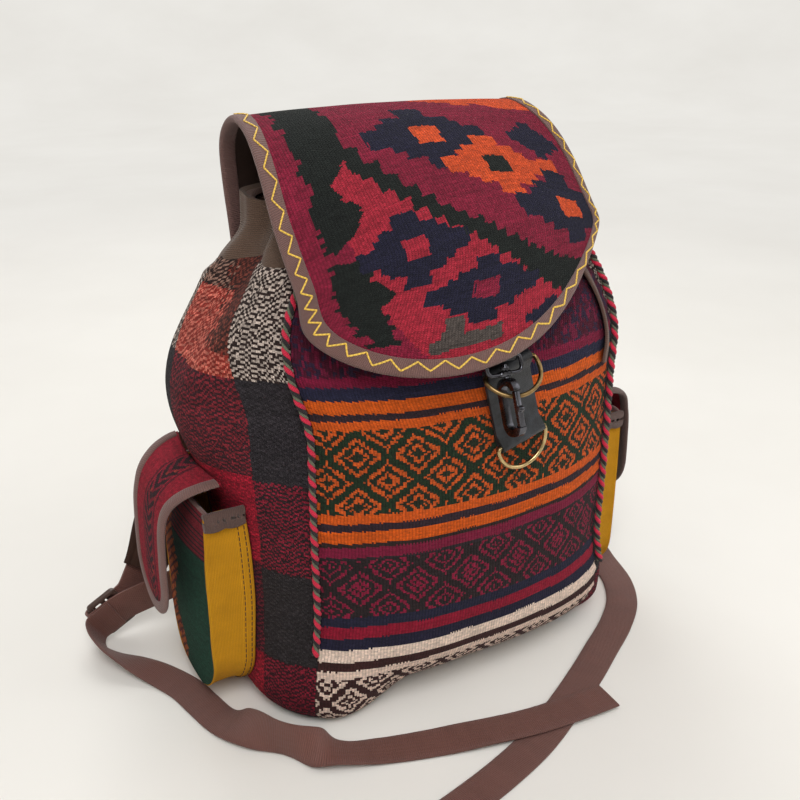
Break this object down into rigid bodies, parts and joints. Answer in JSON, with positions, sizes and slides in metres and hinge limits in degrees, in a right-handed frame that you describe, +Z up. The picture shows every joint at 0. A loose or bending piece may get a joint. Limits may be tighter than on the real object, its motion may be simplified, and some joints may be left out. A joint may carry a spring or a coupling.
{
  "type": "backpack",
  "caption": "Soft drawstring backpack of patterned woven cloth with a lid flap, snap hook closure, flapped side pockets and adjustable shoulder straps.",
  "frame": {"origin": "on the floor under the middle of the bag and its attached straps, without the loose strap tails", "axes": "front panel faces -Y, the wearer's back is at +Y, +Z is up, +X is the viewer's right seen from the front"},
  "size_m": [0.4804, 0.3322, 0.396],
  "materials": {
    "front_cloth": "woven wool, matt",
    "side_cloth": "woven wool, matt",
    "back_cloth": "woven, matt",
    "piping": "twisted cord, matt",
    "collar": "thin ribbed cloth, matt",
    "cord": "woven tape, matt",
    "flap_cloth": "woven wool, matt",
    "lining": "plain cloth, matt",
    "binding": "ribbed tape with a gold stitch",
    "leather": "grained, satin",
    "brass": "worn, satin",
    "hook_metal": "black plated, glossy",
    "pocket_cloth": "woven wool, matt",
    "yellow_cloth": "plain, matt",
    "pocket_flap_cloth": "woven wool, matt",
    "webbing": "ribbed webbing, matt",
    "pad_cloth": "padded cloth, matt",
    "plastic": "moulded, matt"
  },
  "bodies": {
    "bag": {"front_panel": "front_cloth", "right_side_panel": "side_cloth", "left_side_panel": "side_cloth", "back_panel": "back_cloth", "base_panel": "back_cloth", "left_piping": "piping", "right_piping": "piping", "neck_collar": "collar", "drawstring": "cord", "drawstring_tail": "cord", "flap_cloth": "flap_cloth", "flap_lining": "lining", "flap_binding": "binding", "closure_tab": "leather", "flap_tab": "leather", "left_pocket_face": "pocket_cloth", "left_pocket_gusset": "yellow_cloth", "left_pocket_mouth_binding": "binding", "left_pocket_flap": "pocket_flap_cloth", "left_pocket_flap_binding": "binding", "right_pocket_face": "pocket_cloth", "right_pocket_gusset": "yellow_cloth", "right_pocket_mouth_binding": "binding", "right_pocket_flap": "pocket_flap_cloth", "right_pocket_flap_binding": "binding", "strap_patch": "webbing", "haul_loop": "webbing", "left_shoulder_strap": "pad_cloth", "left_ladder_lock": "plastic", "left_strap_foot": "webbing", "left_lower_webbing": "webbing", "right_shoulder_strap": "pad_cloth", "right_ladder_lock": "plastic", "right_strap_foot": "webbing", "right_lower_webbing": "webbing", "left_strap_tail": "webbing", "right_strap_tail": "webbing"},
    "lower_d_ring": {"lower_ring": "brass"},
    "upper_d_ring": {"upper_ring": "brass"},
    "eye": {"hook_eye": "hook_metal"},
    "claw": {"hook_body": "hook_metal"},
    "gate": {"hook_gate": "hook_metal"}
  },
  "joints": [
    {"name": "lower_ring_swing", "type": "hinge", "parent": "bag", "child": "lower_d_ring", "pos_m": [0.01519, -0.10111, 0.203], "axis": [-0.965, -0.0417, -0.2588], "range_deg": [0, 110]},
    {"name": "upper_ring_swing", "type": "hinge", "parent": "bag", "child": "upper_d_ring", "pos_m": [0.00149, -0.1017, 0.25419], "axis": [-0.965, -0.0417, -0.2588], "range_deg": [-1, 1]},
    {"name": "hook_swing", "type": "hinge", "parent": "bag", "child": "eye", "pos_m": [-0.007, -0.10779, 0.264], "axis": [1, 0, 0], "range_deg": [-1, 1]},
    {"name": "hook_swivel", "type": "hinge", "parent": "eye", "child": "claw", "pos_m": [-0.007, -0.11288, 0.25139], "axis": [0, 0.3746, 0.9272], "range_deg": [-8, 8]},
    {"name": "gate_press", "type": "hinge", "parent": "claw", "child": "gate", "pos_m": [-0.007, -0.13019, 0.22802], "axis": [-1, 0, 0], "range_deg": [0, 6], "stiffness_Nm_per_rad": 0.02}
  ]
}
